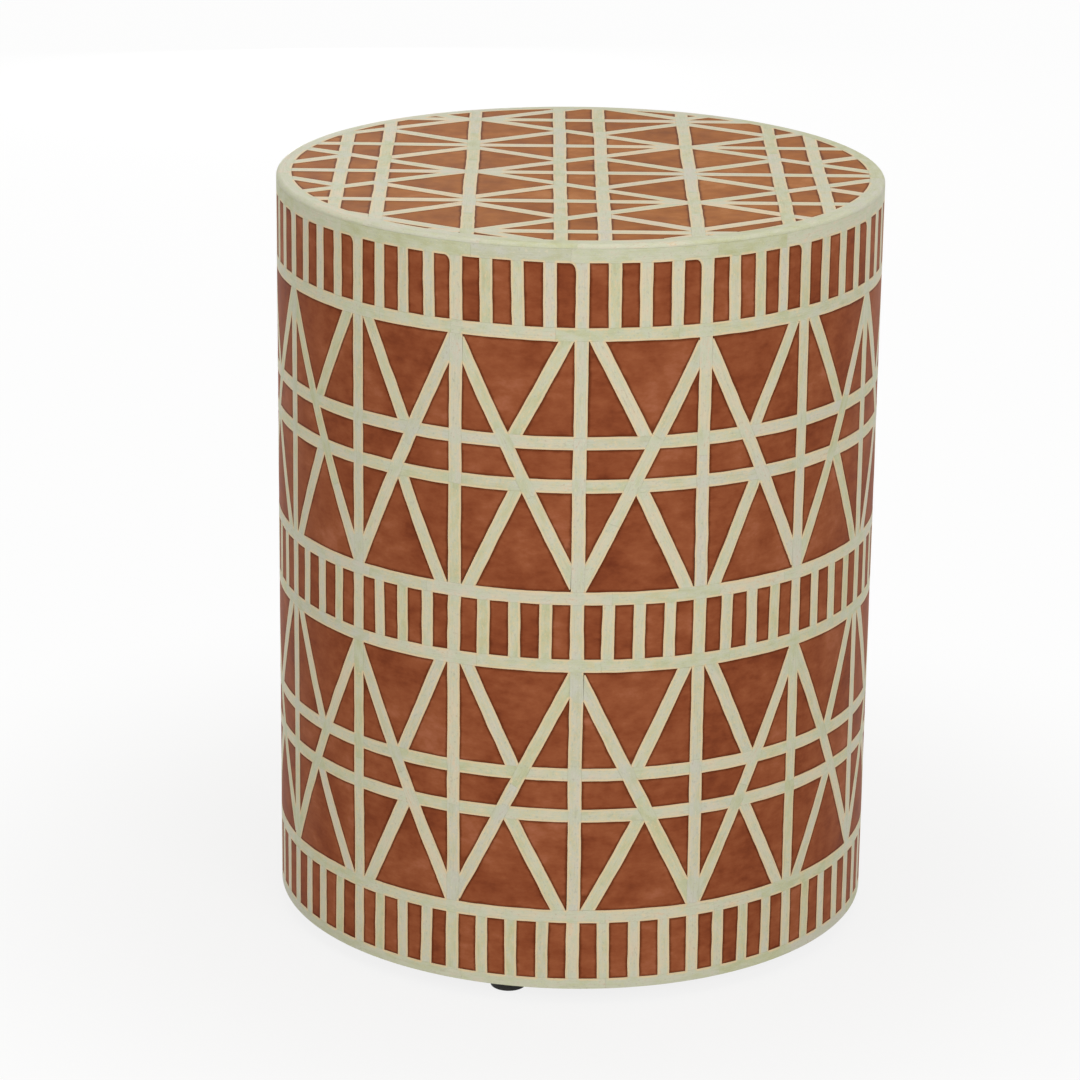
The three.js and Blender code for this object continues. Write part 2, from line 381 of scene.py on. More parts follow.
class Inlay:
    # gathers closed slips or castings in one mesh, with their grain, tone and distance from an edge
    def __init__(self, name, ground, shape):
        self.name = name
        self.ground = ground
        self.shape = shape
        self.dice = random.Random(name)
        self.warmer = 0
        self.corners, self.normals, self.spots = [], [], []
        self.grains, self.tones, self.edges = [], [], []
        self.faces, self.loops = [], []

    def face(self, verts, normals=None):
        self.faces.append(verts)
        self.loops += normals or [self.normals[k] for k in verts]

    def vert(self, place, normal, grain, tone, edge, spot=None):
        self.corners.append(place)
        self.spots.append(spot or place)
        self.normals.append(normal)
        self.grains.append(grain)
        self.tones.append(tone)
        self.edges.append(edge)
        return len(self.corners) - 1

    def add(self, outline, along, hollowed=False):
        shape = self.shape
        if hollowed:
            outline = pulledIn(outline if area(outline) > 0 else outline[::-1], shape["gap"])
        else:
            outline = tidy(shrunk(tidy(outline), shape["gap"]))
            if not big(outline, shaping["least"]):
                return
            outline = tidy(blunted(outline, shape["tip"]))
        ring = refined(outline)
        edges = edgesOf(outline)
        seed = self.dice.uniform(0, shaping["seeds"])
        tone = self.dice.random() + self.warmer
        across = leftOf(along)
        outwards = [p - q for p, q in zip(ring, pulledIn(ring, 1.0))]

        def vertAt(point, depth, tilt, aside, edge):
            outward, right, up = self.ground.axes(point)
            normal = outward * tilt
            if aside is not None:
                side = aside.normalized()
                normal = normal + (right * side.x + up * side.y) * (1 - tilt)
            grain = Vector((point.dot(along), point.dot(across), seed))
            place = self.ground.place(point, depth)
            return self.vert(place, normal.normalized(), grain, tone, edge, self.ground.still(point))

        count = len(ring)
        loose = looseCorners(shape, outline, ring, outwards)
        for share in shaping["bevelTries"]:
            bevel = shape["bevel"] * share
            surface = fill([p - q * bevel for p, q in zip(ring, outwards)] + loose, count)
            if surface:
                break
        underside = fill(ring, count)
        if not surface or not underside:
            print("left out a slip of", self.name)
            return
        sunk = shape["sunk"] + self.dice.uniform(0, hand["lift"])
        turn = 1 - math.sqrt(0.5)
        stages = [
            (0, shape["depth"], 0.0),
            (0, sunk + bevel, 0.0),
            (bevel * turn, sunk + bevel * turn, 0.5),
            (bevel, sunk, 1.0),
        ]
        rings = []
        for inset, depth, tilt in stages:
            points = [p - q * inset for p, q in zip(ring, outwards)]
            rings.append([vertAt(p, depth, tilt, q, 0.0) for p, q in zip(points, outwards)])
        for verts in bands(rings):
            self.face(verts)
        upper = rings[-1] + [vertAt(p, sunk, 1.0, None, insideBy(edges, p)) for p in loose]
        for face in surface:
            self.face([upper[k] for k in face])
        inward = -self.ground.axes(outline[0])[0]
        for face in underside:
            self.face([rings[0][k] for k in reversed(face)], [inward] * len(face))

    def measure(self, windows):
        # how far each corner of the bone lies from the resin
        fine = shaping["fineStep"]
        steps = [self.ground.still(point) for outline in windows for point in refined(outline, fine)]
        tree = KDTree(len(steps))
        for i, step in enumerate(steps):
            tree.insert(step, i)
        tree.balance()
        self.edges = [tree.find(spot)[2] for spot in self.spots]

    def finish(self, node, slot, material):
        data = bpy.data.meshes.new(self.name)
        data.from_pydata(self.corners, [], self.faces)
        grains = data.attributes.new("grain", "FLOAT_VECTOR", "POINT")
        grains.data.foreach_set("vector", [part for grain in self.grains for part in grain])
        for label, values in (("tone", self.tones), ("edge", self.edges)):
            data.attributes.new(label, "FLOAT", "POINT").data.foreach_set("value", values)
        data.normals_split_custom_set(self.loops)
        fit(data, node, material)
        print("made", self.name, len(data.polygons), "faces")


def opaque(colour):
    # a screen colour, 0 to 255, as the light that it stands for
    return (*(((c / 255 + 0.055) / 1.055) ** 2.4 if c > 10 else c / 3294 for c in colour), 1)


# Shader sums
class Wire:
    def __init__(self, net, socket):
        self.net, self.socket = net, socket

    def math(self, operation, other, swap=False):
        pair = (other, self) if swap else (self, other)
        return self.net.make("ShaderNodeMath", {"operation": operation}, dict(enumerate(pair)))

    def __add__(self, other):
        return self.math("ADD", other)

    def __sub__(self, other):
        return self.math("SUBTRACT", other)

    def __rsub__(self, other):
        return self.math("SUBTRACT", other, True)

    def __mul__(self, other):
        return self.math("MULTIPLY", other)

    __radd__ = __add__
    __rmul__ = __mul__


class Net:
    def __init__(self, name, tree=None):
        self.material = None if tree else bpy.data.materials.new(name)
        if self.material:
            self.material.use_nodes = True
        self.tree = tree or self.material.node_tree
        self.tree.nodes.clear()

    def make(self, kind, settings=None, values=None, output=0):
        node = self.tree.nodes.new(kind)
        for key, value in (settings or {}).items():
            if key == "stops":
                ramp = node.color_ramp
                while len(ramp.elements) < len(value):
                    ramp.elements.new(0.5)
                for element, (place, colour) in zip(ramp.elements, value):
                    element.position = place
                    element.color = opaque(colour)
            else:
                setattr(node, key, value)
        for key, value in (values or {}).items():
            socket = node.inputs[key]
            if isinstance(value, Wire):
                self.tree.links.new(value.socket, socket)
            else:
                socket.default_value = value
        return Wire(self, node.outputs[output]) if node.outputs else None

    def noise(self, vector, scale, detail=3, rough=0.55):
        values = {"Vector": vector, "Scale": scale, "Detail": detail, "Roughness": rough}
        return self.make("ShaderNodeTexNoise", {"noise_dimensions": "3D"}, values)

    def stretch(self, vector, factors):
        return self.make("ShaderNodeVectorMath", {"operation": "MULTIPLY"}, {0: vector, 1: factors})

    def window(self, value, low, high):
        values = {"Value": value, "From Min": low, "From Max": high}
        return self.make("ShaderNodeMapRange", {"interpolation_type": "SMOOTHSTEP"}, values)

    def ramp(self, value, stops):
        return self.make("ShaderNodeValToRGB", {"stops": stops}, {0: value})

    def over(self, colour, share, tint):
        # a share of a tint over a colour
        values = {0: share, 6: colour, 7: opaque(tint)}
        return self.make("ShaderNodeMix", {"data_type": "RGBA"}, values, output=2)

    def place(self):
        return self.make("ShaderNodeTexCoord", output="Object")

    def stored(self, name, output="Fac"):
        # what the mesh carries under a name
        return self.make("ShaderNodeAttribute", {"attribute_name": name}, output=output)

    def surface(self, colour, rough, bump, strength, others=None, distance=0.1 * mm):
        heights = {"Height": bump, "Strength": strength, "Distance": distance}
        normal = self.make("ShaderNodeBump", {}, heights)
        values = {"Base Color": colour, "Roughness": rough, "Normal": normal, **(others or {})}
        return self.shown(self.make("ShaderNodeBsdfPrincipled", {}, values))

    def shown(self, shader, kind="ShaderNodeOutputMaterial"):
        self.make(kind, {}, {"Surface": shader})
        return self.material


boneShades = {
    "body": [
        (0.06, (194, 197, 154)), (0.34, (205, 209, 177)), (0.56, (211, 214, 192)),
        (0.78, (219, 214, 193)), (0.96, (230, 211, 182)),
    ],
    "cool": (209, 207, 205),
    "stain": (158, 158, 122),
    "pale": (236, 228, 208),
    "worn": (237, 213, 172),
    "seam": (156, 130, 92),
    "streak": (176, 168, 132),
    "pore": (150, 130, 96),
}


def boneMaterial():
    net = Net("bone")
    grain, tone, edge = net.stored("grain", "Vector"), net.stored("tone"), net.stored("edge")
    streaks = net.noise(net.stretch(grain, (70, 1700, 1)), 1.0, 4)
    blotches = net.noise(net.stretch(grain, (95, 210, 1)), 1.0, 3)
    mottle = net.noise(net.stretch(grain, (520, 800, 1)), 1.0, 2)
    pores = net.noise(net.stretch(grain, (800, 5200, 1)), 1.0, 2)
    hue = tone * 0.38 + blotches * 1.15 + mottle * 0.8 - 0.67
    colour = net.ramp(hue, boneShades["body"])
    other = net.make("ShaderNodeMath", {"operation": "FRACT"}, {0: tone * 7.3})
    worn = net.window(edge + (mottle - 0.5) * 1.4 * mm, 1.9 * mm, 0.6 * mm)
    for shade, share in {
        "cool": net.window(other, 0.5, 1.0) * blotches * 0.65,
        "stain": net.window(mottle, 0.56, 0.74) * 0.32,
        "pale": net.window(mottle, 0.42, 0.28) * 0.45,
        "worn": worn * 0.85,
        "seam": net.window(edge, 0.2 * mm, 0.02 * mm) * 0.2,
        "streak": net.window(streaks, 0.50, 0.74) * 0.28,
        "pore": net.window(pores, 0.64, 0.76) * 0.35,
    }.items():
        colour = net.over(colour, share, boneShades[shade])
    bump = pores + streaks * 0.6
    return net.surface(colour, 0.34 + streaks * 0.18, bump, 0.12, {"Specular IOR Level": 0.1})


resinShades = {
    "wall": [(0.20, (115, 54, 33)), (0.42, (142, 75, 46)), (0.60, (158, 90, 58)), (0.84, (181, 113, 84))],
    # top: the wall's resin painted lighter and warmer, a painted sheen for the light that the flat top
    # reflects
    "top": [(0.20, (131, 76, 35)), (0.42, (159, 96, 47)), (0.60, (174, 110, 57)), (0.84, (196, 135, 86))],
    # painted shade: the darker brown that the resin takes next to the bone's edges
    "rim": (92, 42, 20),
    "speck": (88, 42, 26),
}


def resinMaterial(name, body):
    net = Net(name)
    place, tone, edge = net.place(), net.stored("tone"), net.stored("edge")
    clouds = net.noise(place, 34, 4, 0.6)
    strokes = net.noise(net.stretch(place, (80, 80, 170)), 1.0, 5, 0.68)
    specks = net.noise(place, 1100, 2)
    mood = clouds * 0.85 + strokes * 0.6 + tone * 0.12 - 0.28
    colour = net.ramp(mood, resinShades[body])
    # painted shade: the resin darkens within about 2 mm of the bone, as if the slips' edges shaded it
    dark = net.window(edge + (strokes - 0.5) * 2.0 * mm, 1.9 * mm, 0.2 * mm)
    colour = net.over(colour, dark * 0.72, resinShades["rim"])
    colour = net.over(colour, net.window(specks, 0.70, 0.80) * 0.3, resinShades["speck"])
    bump = strokes + specks * 0.1
    sheen = {"Specular IOR Level": 0.03}
    return net.surface(colour, 0.40 + strokes * 0.16, bump, 0.2, sheen, 0.4 * mm)


woods = {
    "fibreboard": {"pale": (158, 128, 92), "dark": (126, 98, 66), "grain": (900, 420, 900)},
    "plywood": {"pale": (206, 170, 120), "dark": (150, 112, 72), "grain": (160, 160, 9)},
    "pine": {"pale": (218, 186, 132), "dark": (176, 134, 84), "grain": (240, 240, 8)},
}


def woodMaterial(name):
    net = Net(name)
    wood = woods[name]
    place = net.place()
    warp = net.noise(place, 6, 2)
    lines = net.noise(net.stretch(place, wood["grain"]), 1.0, 5)
    fleck = net.noise(place, 700, 2)
    colour = net.ramp(lines * 0.8 + warp * 0.3 - 0.05, [(0.3, wood["dark"]), (0.7, wood["pale"])])
    colour = net.over(colour, net.window(fleck, 0.55, 0.8) * 0.3, wood["dark"])
    return net.surface(colour, 0.62 + lines * 0.2, lines, 0.3)


def rubberMaterial():
    net = Net("rubber")
    dust = net.noise(net.place(), 260, 4)
    colour = net.over(opaque((26, 26, 25)), net.window(dust, 0.45, 0.75) * 0.5, (58, 56, 53))
    return net.surface(colour, 0.7 + dust * 0.2, dust, 0.2)


def steelMaterial():
    net = Net("screwSteel")
    smear = net.noise(net.place(), 420, 4)
    colour = net.over(opaque((196, 192, 182)), smear, (160, 158, 152))
    return net.surface(colour, 0.26 + smear * 0.2, smear, 0.1, {"Metallic": 1.0})


looks = {
    "bone": boneMaterial(),
    "resin": resinMaterial("castResin", "wall"),
    "board": woodMaterial("fibreboard"),
    "plywood": woodMaterial("plywood"),
    "pine": woodMaterial("pine"),
    "rubber": rubberMaterial(),
    "steel": steelMaterial(),
}
# the top's resin is the wall's resin with a painted sheen in its lighter, warmer colours
topResinPaintedSheen = resinMaterial("castResinTop", "top")
slots = {part["node"]: part["material_slot"] for part in frame["record"]["subparts"]}
for name, node in frame["nodes"].items():
    node.data.materials.clear()
    node.data.materials.append(looks[slots[name]])
print("materials made")

dice = random.Random(hand["seed"])


def stray(amount):
    return dice.uniform(-amount, amount)


def uprightPlaces():
    pitch = girth / drum["bays"]
    places = []
    for k in range(drum["bays"]):
        nearest = k if k <= drum["bays"] / 2 else k - drum["bays"]
        shift = hand["seen"].get(nearest, stray(hand["upright"]))
        places.append(k * pitch + math.radians(shift) * drum["radius"])
    places.append(places[0] + girth)
    return places


uprights = uprightPlaces()


def hoopLine(level):
    return [flat(x, level) for x in uprights]


def width(size=inlay["strip"]):
    return size * (1 + stray(hand["width"]))


def cutToLength(outline, along):
    # long pieces are joined from shorter slips
    places = [corner.dot(along) for corner in outline]
    length = max(places) - min(places)
    if length < hand["longest"] * inlay["slipLength"]:
        return [outline]
    share = dice.uniform(*hand["cutShares"])
    point = outline[0] + along * (min(places) + length * share - places[0])
    normal = (along + leftOf(along) * stray(hand["cutSlant"])).normalized()
    parts = [clip(outline, point, normal), clip(outline, point, -normal)]
    return [piece for part in parts for piece in cutToLength(part, along)]


def lay(target, outline, along):
    if big(outline):
        for piece in cutToLength(outline, along):
            target.add(piece, along)


def hoopSlips(target, line, size):
    # one hoop, in slips whose joints fall here and there between the uprights
    joints = [place + stray(hand["hoopJoint"]) * inlay["slipLength"] for place in uprights[:-1]]
    joints.append(joints[0] + girth)
    low, high = line[0].y - size / 2, line[0].y + size / 2
    leans = [stray(hand["hoopLean"]) for _ in joints[:-1]]
    for (left, right), (first, last) in zip(zip(joints, joints[1:]), pairs(leans)):
        outline = [flat(left - first, low), flat(right - last, low)]
        outline += [flat(right + last, high), flat(left + first, high)]
        target.add(outline, flat(1, 0))


def towards(band, point):
    # the side of a strip that a point lies on
    return 1 if (point - band["start"]).dot(band["across"]) > 0 else -1


def bayParts(corners, rows, size, crossed):
    # The slips and windows of one bay. The corners are the middles of its two uprights at its first
    # hoop and at its last one. A long diagonal joins the second corner to the third, and two short
    # ones leave the other corners. The paired hoops between are laid first if the bay is crossed.
    v0, a0, v3, a3 = corners
    first, pair, last = rows
    length = first + pair + last + 2 * size
    near, far = (
        strip(v0.lerp(v3, share), a0.lerp(a3, share), size)
        for share in ((first + 0.5 * size) / length, (first + pair + 1.5 * size) / length)
    )
    onLong = [a0.lerp(v3, (reach + size) / length) for reach in (first, first + pair)]
    long = strip(a0 + flat(stray(hand["diagonal"]), 0), v3 + flat(stray(hand["diagonal"]), 0), width())
    pitch = (a0 - v0).length
    clear = size / 2 * (1 + math.hypot(pitch, length) / length) + abs(stray(hand["diagonal"]))
    shortNear = strip(v0 + (a0 - v0).normalized() * clear, onLong[0], width())
    shortFar = strip(onLong[1], a3 + (v3 - a3).normalized() * clear, width())
    onUprights = [strip(v0, v3, size), strip(a0, a3, size)]
    field = tidy([v0, a0, a3, v3])
    for upright, other in zip(onUprights, (a0, v0)):
        field = beside(field, upright, towards(upright, other))
    vSide = towards(long, v0)
    fields = [
        beside(field, near, towards(near, v0)),
        beside(beside(field, near, towards(near, v3)), far, towards(far, v0)),
        beside(field, far, towards(far, v3)),
    ]
    slips = [(under(part, long), long) for part in (fields if crossed else [field])]
    windows = []
    for side in (vSide, -vSide):
        if not crossed:
            half = beside(field, long, side)
            slips += [(under(half, near), near), (under(half, far), far)]
        shorts = [shortNear if side == vSide else None, None, shortFar if side != vSide else None]
        for part, short in zip(fields, shorts):
            part = beside(part, long, side)
            if short is None:
                windows.append(part)
                continue
            slips.append((under(part, short), short))
            windows += [beside(part, short, 1), beside(part, short, -1)]
    return [(outline, band["along"]) for outline, band in slips], windows


def lattice(node, below, above, down):
    # the zone between two hoops' lines, whose first row lies under the upper hoop or on the lower one
    slips = Inlay(node + "_slips", wall, boneShape)
    size = inlay["strip"]
    way = -1 if down else 1
    start, end = (above, below) if down else (below, above)
    start = [p + flat(0, way * size / 2) for p in start]
    end = [p - flat(0, way * size / 2) for p in end]
    windows = []
    for k in range(drum["bays"]):
        v, a = (k + 1, k) if k % 2 else (k, k + 1)
        clear = abs(start[k].y - end[k].y) - 2 * size
        rows = [share * clear for share in inlay["rowShares"]]
        parts, found = bayParts([start[v], start[a], end[v], end[a]], rows, size, False)
        for outline, along in parts:
            lay(slips, outline, along)
        windows += found
        post = strip(start[k], end[k], size)
        reach = flat(size, 0)
        column = [start[k] - reach, start[k] + reach, end[k] + reach, end[k] - reach]
        lay(slips, under(tidy(column), post), post["along"])
    return node, slips, windows


def withChip(target, window, way, size):
    # a chip of bone rounds off the upper corner on the right (1) or left (-1); the rest is cast
    corner = max(window, key=lambda p: p.x * way + p.y)
    wide, tall = (reach * size for reach in hand["chip"])
    turns = [math.pi / 2 * k / 4 for k in range(5)]
    arc = [corner + flat(way * wide * (math.sin(t) - 1), tall * (math.cos(t) - 1)) for t in turns]
    target.add(([corner] + arc)[::way], flat(0, 1), True)
    for here, there in zip(arc, arc[1:]):
        along = (there - here).normalized() * way
        window = clip(window, here, -leftOf(along))
    return window


def tickBand(node, lowLine, highLine, lowSize, highSize, chipped=False):
    slips = Inlay(node + "_slips", wall, boneShape)
    hoopSlips(slips, lowLine, lowSize)
    hoopSlips(slips, highLine, highSize)
    low = [p + flat(0, lowSize / 2) for p in lowLine]
    high = [p - flat(0, highSize / 2) for p in highLine]
    posts = []
    for k in range(drum["bays"]):
        for number in range(drum["ticks"]):
            share = number / drum["ticks"]
            slack = hand["tick"] if number else 0.0
            foot, head = (p[k].lerp(p[k + 1], share) + flat(stray(slack), 0) for p in (low, high))
            posts.append(strip(foot, head, width(inlay["tick"] if number else inlay["strip"])))
    posts.append({**posts[0], "start": posts[0]["start"] + flat(girth, 0)})
    windows = []
    for i, (post, follower) in enumerate(zip(posts, posts[1:])):
        k, number = divmod(i, drum["ticks"])
        left, right = post["start"].x - 2 * inlay["tick"], follower["start"].x + 2 * inlay["tick"]
        field = oblong(left, right, drum["base"], drum["top"])
        field = beside(field, strip(low[k], low[k + 1], 0), 1)
        field = beside(field, strip(high[k], high[k + 1], 0), -1)
        lay(slips, under(field, post), post["along"])
        window = beside(beside(field, post, -1), follower, 1)
        if chipped and number == drum["ticks"] - 1:
            window = withChip(slips, window, 1, dice.uniform(*hand["chipSizes"]))
        elif chipped and dice.random() < hand["chipChance"]:
            window = withChip(slips, window, dice.choice((-1, 1)), hand["smallChip"])
        windows.append(window)
    return node, slips, windows


def wallInlay():
    size = inlay["strip"]
    upper, middle, lower = (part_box(name + "_tick_band") for name in ("upper", "middle", "lower"))
    rimTop = upper[1].z + inlay["rimReach"]
    rimSize = rimTop - (drum["top"] - inlay["rimHoop"])
    rim = hoopLine(rimTop - rimSize / 2)
    foot = hoopLine(lower[0].z + inlay["footHoop"] / 2)
    hoops = [hoopLine(level) for level in (
        lower[1].z - size / 2,
        middle[0].z + size / 2,
        middle[1].z - size / 2,
        upper[0].z + size / 2,
    )]
    zones = [
        tickBand("lower_tick_band", foot, hoops[0], inlay["footHoop"], size),
        lattice("lower_lattice", hoops[0], hoops[1], False),
        tickBand("middle_tick_band", hoops[1], hoops[2], size, size),
        lattice("upper_lattice", hoops[2], hoops[3], True),
        tickBand("upper_tick_band", hoops[3], rim, size, rimSize, True),
    ]
    windows = [tidy(window) for zone in zones for window in zone[2]]
    for node, slips, _ in zones:
        slips.measure(windows)
        slips.finish(node, "bone", looks["bone"])
    cast = Inlay("resin_wall_cast", wall, castShape)
    for outline in windows:
        cast.add(outline, flat(1, 0))
    low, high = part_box("resin_wall")
    turnedBed(cast, high.x - inlay["wallBed"], high.x, low.z, high.z)
    cast.finish("resin_wall", "resin", looks["resin"])


def turnedBed(target, inside, outside, low, high, sides=144, tone=0.5, edge=3 * mm):
    # the full ring or disc of resin behind the slips
    section = [(inside, low), (outside, low), (outside, high), (inside, high)]
    outwards = [radial(2 * math.pi * i / sides) for i in range(sides)]
    rings = []
    for outward in outwards:
        places = [outward * radius + Vector((0, 0, height)) for radius, height in section]
        rings.append([target.vert(place, outward, place, tone, edge) for place in places])
    level = Vector((0, 0, 1))
    for (ring, after), (here, there) in zip(pairs(rings), pairs(outwards)):
        ways = [(-level, -level), (here, there), (level, level), (-here, -there)]
        for (a, b), (c, d), (first, last) in zip(pairs(ring), pairs(after), ways):
            target.face((a, c, d, b), [first, last, last, first])


ringShape = {
    "slips": 17,
    "innerSides": 128,
    "stray": 0.2,  # share of a slip's length
    "spans": 16,
    "roundSteps": 8,
    "rows": (1.2 * mm, 1 * mm),  # from the inner edge and from the rounded corner
    "sunk": 0.1 * mm,
}


def topInlay():
    size = inlay["strip"]
    rows = inlay["topRows"]
    length = sum(rows) + 2 * size
    inside = drum["radius"] - inlay["topRing"]
    sides = ringShape["innerSides"]

    def trimmed(outline):
        # what lies inside the ring
        for side in range(sides):
            inward = -radial(2 * math.pi * (side + 0.5) / sides).xy
            point = inward * (-inside * math.cos(math.pi / sides))
            if len(outline) > 2 and insideBy([(point, inward)], min(outline, key=inward.dot)) < 0:
                outline = clip(outline, point, inward)
        return outline

    slips = Inlay("top_inlay_slips", top, boneShape)
    cast = Inlay("resin_top_cast", top, castShape)
    runs = [(-length / 2, 1), (-length / 2 - size, -1), (length / 2 + size + length, -1)]
    across = [inlay["topShift"] + k * inlay["topPitch"] + stray(hand["crossStrip"]) for k in range(-3, 4)]
    near = rows[0] + size / 2
    far = rows[0] + rows[1] + 1.5 * size
    spans = ((0, near - size / 2), (near + size / 2, far - size / 2), (far + size / 2, length))
    seen = []
    slips.warmer = hand["topTone"]
    for start, way in runs:
        end = start + way * length
        for number, (low, high) in enumerate(zip(across, across[1:])):
            a, v = (low, high) if number % 2 else (high, low)
            corners = [flat(start, v), flat(start, a), flat(end, v), flat(end, a)]
            parts, windows = bayParts(corners, rows, size, True)
            for outline, along in parts:
                lay(slips, trimmed(outline), along)
            seen += [window for window in map(trimmed, windows) if big(window)]
        for y in across:
            for share, stop in spans:
                left, right = sorted((start + way * share, start + way * stop))
                lay(slips, trimmed(oblong(left, right, y - size / 2, y + size / 2)), flat(1, 0))
    slips.warmer = 0
    lines = [-(length + size) / 2, (length + size) / 2]
    lines += [start + way * share for start, way in runs for share in (near, far)]
    for x in lines:
        outline = oblong(x - size / 2, x + size / 2, -drum["radius"], drum["radius"])
        lay(slips, trimmed(outline), flat(0, 1))
    topRing(slips, inside)
    slips.measure(seen)
    slips.finish("top_inlay", "bone", looks["bone"])
    for outline in seen:
        cast.add(outline, flat(1, 0))
    low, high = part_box("resin_top")
    turnedBed(cast, inlay["topHub"], high.x, low.z, high.z)
    cast.finish("resin_top", "resin", topResinPaintedSheen)


def topRing(target, inside):
    # slips round the edge, whose outer corner is rounded over
    radius, topLevel = drum["radius"], drum["top"]
    base = topLevel - drum["bone"] - ringShape["sunk"]
    bevel = boneShape["bevel"]
    inner = inside + boneShape["gap"]
    corner = drum["bone"]
    section = [(inner, base, -1, 0), (inner, topLevel - bevel, -1, 0), (inner + bevel, topLevel, 0, 1)]
    near, far = ringShape["rows"]
    section += [(inner + near, topLevel, 0, 1), (radius - corner - far, topLevel, 0, 1)]
    steps = ringShape["roundSteps"]
    for step in range(steps + 1):
        angle = math.pi / 2 * (1 - step / steps)
        out, up = math.cos(angle), math.sin(angle)
        section.append((radius - corner + corner * out, topLevel - corner + corner * up, out, up))
    section.append((radius, base, 1, 0))
    count = ringShape["slips"]
    joints = [2 * math.pi * (k + stray(ringShape["stray"])) / count for k in range(count)]
    joints.append(joints[0] + 2 * math.pi)
    gap = boneShape["gap"] / radius
    for start, end in zip(joints, joints[1:]):
        tone, seed = target.dice.random(), target.dice.uniform(0, shaping["seeds"])
        length = end - start - 2 * gap
        spans = ringShape["spans"]
        shares = [0, bevel / radius / length] + [k / spans for k in range(1, spans)]
        shares += [1 - bevel / radius / length, 1]
        rings = []
        for share in shares:
            angle = start + gap + length * share
            outward = radial(angle)
            lowered = bevel if share in (0, 1) else 0.0
            ring = []
            for distance, height, out, up in section:
                normal = outward * out + Vector((0, 0, up))
                place = outward * distance + Vector((0, 0, height))
                if height > base and out >= 0:
                    place -= normal * lowered
                grain = Vector((angle * radius, distance - height, seed))
                ring.append(target.vert(place, normal, grain, tone, 0.0))
            rings.append(ring)
        for verts in bands(rings):
            target.face(verts)
        target.face(rings[0][::-1])
        target.face(rings[-1])


wall = Wall()
top = Top()
wallInlay()
topInlay()

fittings = {
    "sides": 48,
    "toe": 10.5 * mm,
    "toeRound": 0.9 * mm,
    "toeTurns": (0, 0.4, 0.8, 1.2),
    "mouth": 0.5 * mm,  # bevel of the foot's recess
    "draft": 0.1 * mm,
    "shoulder": (0.4 * mm, 0.8 * mm),
    "recess": 4.3 * mm,
    "bore": 2.3 * mm,
    "boreSides": 32,
    "head": 4.0 * mm,
    "headEdge": 0.15 * mm,
    "headDepth": 2.2 * mm,
    "sinkSlack": 0.3 * mm,
    "shank": 2.0 * mm,
    "tip": 4.0 * mm,
    "point": 0.1 * mm,
    "driveReach": 2.3 * mm,
    "driveHalf": 0.55 * mm,
    "driveDepth": 1.5 * mm,
    "driveTaper": (0.55, 0.6),
    "driveTurn": 37,  # radians per metre to the side, so that each cross sits its own way
    "boardBreak": 0.6 * mm,
    "boardSides": 144,
    "sharp": 38,  # degrees
}


def circle(radius, count=fittings["sides"], middle=(0, 0)):
    turns = [2 * math.pi * i / count for i in range(count)]
    return [flat(middle[0] + radius * math.cos(t), middle[1] + radius * math.sin(t)) for t in turns]


def cross(reach, half):
    # the outline of a cross-head drive
    arm = [flat(reach, half), flat(half, half), flat(half, reach)]
    points = []
    for _ in range(4):
        points += arm
        arm = [leftOf(p) for p in arm]
    return points


def holds(outline, point):
    # whether an outline goes round a point
    inside = False
    for before, corner in pairs(outline):
        if (corner.y > point.y) != (before.y > point.y):
            if point.x < corner.x + (before.x - corner.x) * (point.y - corner.y) / (before.y - corner.y):
                inside = not inside
    return inside


class Shell:
    # gathers the rings of corners and the faces of one turned or bored piece
    def __init__(self):
        self.corners, self.faces = [], []

    def ring(self, points, height, middle=(0, 0)):
        start = len(self.corners)
        self.corners += [(middle[0] + p.x, middle[1] + p.y, height) for p in points]
        return list(range(start, len(self.corners)))

    def cap(self, rings):
        # triangles between an outer ring and the holes in it
        order = [k for ring in rings for k in ring]
        points = [flat(*self.corners[k][:2]) for k in order]
        spans = []
        for ring in rings:
            start = spans[-1].stop if spans else 0
            spans.append(range(start, start + len(ring)))
        edges = [(span[i - 1], span[i]) for span in spans for i in range(len(span))]
        holes = [[points[k] for k in span] for span in spans[1:]]
        found = delaunay_2d_cdt(points, edges, [], 0, 1e-9, True)
        for face in found[2]:
            face = [found[3][k][0] for k in face]
            middle = sum((points[k] for k in face), flat(0, 0)) / 3
            if not any(holds(hole, middle) for hole in holes):
                self.faces.append([order[k] for k in face])

    def finish(self, name, node, slot):
        data = bpy.data.meshes.new(name)
        data.from_pydata(self.corners, [], self.faces)
        work = bmesh.new()
        work.from_mesh(data)
        bmesh.ops.recalc_face_normals(work, faces=work.faces)
        work.to_mesh(data)
        work.free()
        data.shade_smooth()
        data.set_sharp_from_angle(angle=math.radians(fittings["sharp"]))
        fit(data, node, looks[slot])


def foot(name):
    low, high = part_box(name)
    radius = (high.x - low.x) / 2
    size = fittings
    toe, mouth = size["toeRound"], size["mouth"]
    inset, drop = size["shoulder"]
    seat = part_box(name.replace("foot", "foot_screw"))[0].z
    profile = [(size["bore"], seat + size["headDepth"]), (size["recess"], seat)]
    profile += [(size["recess"], low.z + mouth), (size["recess"] + mouth, low.z)]
    for turn in size["toeTurns"]:
        profile.append((size["toe"] - toe + toe * math.sin(turn), low.z + toe - toe * math.cos(turn)))
    profile += [(radius - size["draft"], high.z - drop), (radius - inset, high.z), (size["bore"], high.z)]
    shell = Shell()
    rings = [shell.ring(circle(reach), height, (low + high) / 2) for reach, height in profile]
    shell.faces += bands(rings[-1:] + rings)
    shell.finish(name + "_bumper", name, "rubber")


